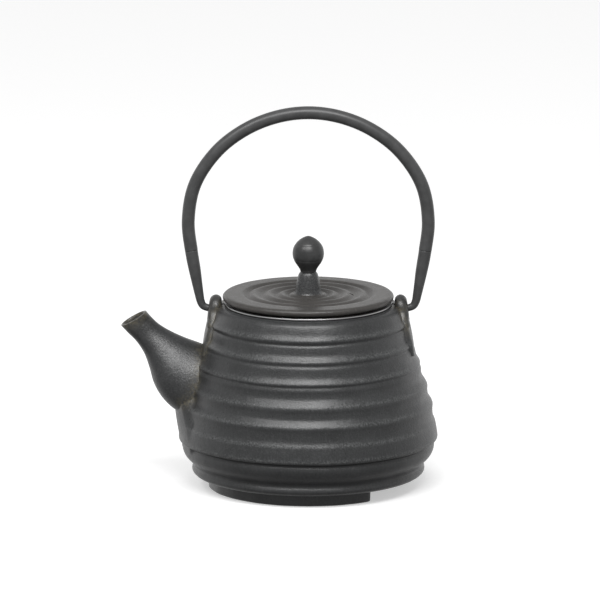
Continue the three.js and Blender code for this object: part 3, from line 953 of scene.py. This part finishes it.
def place(piece, body, nodes, slot, *materials):
    """Puts a piece in its body, in place of its CAD nodes."""
    piece.data.materials.clear()
    for material in materials:
        piece.data.materials.append(material)
    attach(piece, body)
    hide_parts(*nodes)


pot = pot_casting()
mark_crests(pot)
mark_joint_dust_and_highlight(pot)
place(pot, "pot", POT_NODES, "pot_iron", cast_iron("pot_cast_iron", warm=-0.03), enamel())
enamel_inside(pot)

lid_iron = cast_iron("lid_cast_iron", dark=0.03, light=0.046, roughness=(0.3, 0.44), warm=0.08, masks=False)
# The pedestal's iron is cooler than the lid's, which is its own tone, and lighter, which is a painted
# highlight.
pedestal_iron_painted_highlight = cast_iron("pedestal_cast_iron_painted_highlight", 0.034, 0.055, (0.2, 0.36), warm=-0.02, masks=False)
lid = lid_casting()
place(lid, "lid", ["lid"], "lid_iron", lid_iron, pedestal_iron_painted_highlight)
pedestal_with_painted_highlight(lid)
knob_paint = satin_paint("knob_black", 0.03, 0.05, (0.34, 0.42), 0.12)
place(knob(), "lid", ["lid_knob"], "knob_iron", knob_paint)
fastener = steel("fastener_steel_plated", 0.62, (0.25, 0.4))
place(washer(), "lid", ["knob_washer"], "fastener_steel", fastener)
place(screw(), "lid", ["knob_screw"], "fastener_steel", fastener)

handle_paint = satin_paint("handle_satin", 0.05, 0.068, (0.34, 0.44))
place(handle_tube(), "bail", ["handle_tube"], "handle_iron", handle_paint)
place(handle_hook(1), "bail", ["handle_hook_right"], "handle_iron", handle_paint)
place(handle_hook(-1), "bail", ["handle_hook_left"], "handle_iron", handle_paint)

stainless = steel("infuser_stainless", 0.62, (0.28, 0.4))
place(infuser_rim(), "infuser", ["infuser_rim"], "infuser_steel", stainless)
place(infuser_wall(), "infuser", ["infuser_wall"], "infuser_steel", stainless)
place(infuser_base(), "infuser", ["infuser_base"], "infuser_steel", stainless)

# ------------------------------------------------------------------ studio


def studio_floor():
    """A level floor that only the camera sees, so that it doesn't light the pot from below."""
    half = 12
    corners = [(-half, -half, 0), (half, -half, 0), (half, half, 0), (-half, half, 0)]
    mesh = bpy.data.meshes.new("floor")
    mesh.from_pydata(corners, [], [(0, 1, 2, 3)])
    floor = bpy.data.objects.new("floor", mesh)
    bpy.context.scene.collection.objects.link(floor)
    pale = bpy.data.materials.new("pale_floor")
    pale.use_nodes = True
    shader = pale.node_tree.nodes["Principled BSDF"]
    shader.inputs["Base Color"].default_value = (0.8, 0.8, 0.8, 1)
    shader.inputs["Roughness"].default_value = 0.9
    shader.inputs["Specular IOR Level"].default_value = 0.1
    shader.inputs["Emission Color"].default_value = (1, 1, 1, 1)
    shader.inputs["Emission Strength"].default_value = 0.45
    mesh.materials.append(pale)
    floor.visible_diffuse = False
    floor.visible_glossy = False


POT_MIDDLE = 90  # the height in millimetres that the lights are aimed at


def softbox(name, azimuth, elevation, distance, width, height, power):
    """A rectangular soft light that faces the pot. Azimuth 0 is the camera's side, and more is rightward."""
    light = bpy.data.lights.new(name, "AREA")
    light.shape = "RECTANGLE"
    light.size, light.size_y = width, height
    light.energy = power
    lamp = bpy.data.objects.new(name, light)
    a, e = math.radians(azimuth), math.radians(elevation)
    away = Vector((math.sin(a) * math.cos(e), -math.cos(a) * math.cos(e), math.sin(e)))
    lamp.location = Vector((AXIS_X, 0, POT_MIDDLE * MM)) + away * distance
    lamp.rotation_mode = "QUATERNION"
    lamp.rotation_quaternion = (-away).to_track_quat("-Z", "Y")
    bpy.context.scene.collection.objects.link(lamp)


def world_light():
    """Even soft light, brighter low down behind the pot and fading away below the floor."""
    world = bpy.data.worlds.new("studio")
    bpy.context.scene.world = world
    world.use_nodes = True
    tree = world.node_tree

    def ramp(value, low, high, to_low, to_high):
        node = tree.nodes.new("ShaderNodeMapRange")
        for key, number in zip(("From Min", "From Max", "To Min", "To Max"), (low, high, to_low, to_high)):
            node.inputs[key].default_value = number
        tree.links.new(value, node.inputs["Value"])
        return node.outputs["Result"]

    def product(a, b):
        node = tree.nodes.new("ShaderNodeMath")
        node.operation = "MULTIPLY"
        tree.links.new(a, node.inputs[0])
        tree.links.new(b, node.inputs[1])
        return node.outputs[0]

    coordinates = tree.nodes.new("ShaderNodeTexCoord")
    parts = tree.nodes.new("ShaderNodeSeparateXYZ")
    tree.links.new(coordinates.outputs["Generated"], parts.inputs[0])
    behind = ramp(parts.outputs[1], -0.1, 0.7, 0, 1)
    behind_and_low = product(behind, ramp(parts.outputs[2], 0.1, 0.6, 1, 0))
    background = tree.nodes["Background"]
    background.inputs["Color"].default_value = (1, 1, 1, 1)
    from_below = ramp(parts.outputs[2], -0.6, -0.1, 0.55, 1)
    even = ramp(behind_and_low, 0, 1, 0.47, 1.0)
    tree.links.new(product(even, from_below), background.inputs["Strength"])


def camera():
    """Looks along +Y from 12 degrees above, from far enough away that the pot looks nearly flat on."""
    elevation = math.radians(12)
    distance = 6.0
    view_width = 0.345
    aside = 0.01165  # how far the view's middle lies to the right of the pot's
    aim = Vector(((cad_low[0] + cad_high[0]) / 2 + aside, 0, cad_high[2] * 0.4892))
    data = bpy.data.cameras.new("camera")
    data.sensor_width = 36
    data.lens = 36 * distance / view_width
    data.clip_end = 100
    lens = bpy.data.objects.new("camera", data)
    back = Vector((0, -math.cos(elevation), math.sin(elevation)))
    lens.location = aim + back * distance
    lens.rotation_mode = "QUATERNION"
    lens.rotation_quaternion = (-back).to_track_quat("-Z", "Y")
    bpy.context.scene.collection.objects.link(lens)
    bpy.context.scene.camera = lens


studio_floor()
world_light()
softbox("softbox_left", -9, 50, 1.6, 0.4, 0.5, 7.6)
softbox("softbox_right", 16, 50, 1.6, 0.4, 0.5, 8.6)
softbox("spout_side", -42, 46, 1.8, 0.4, 0.5, 7)
camera()
bpy.context.scene.view_settings.view_transform = "Standard"
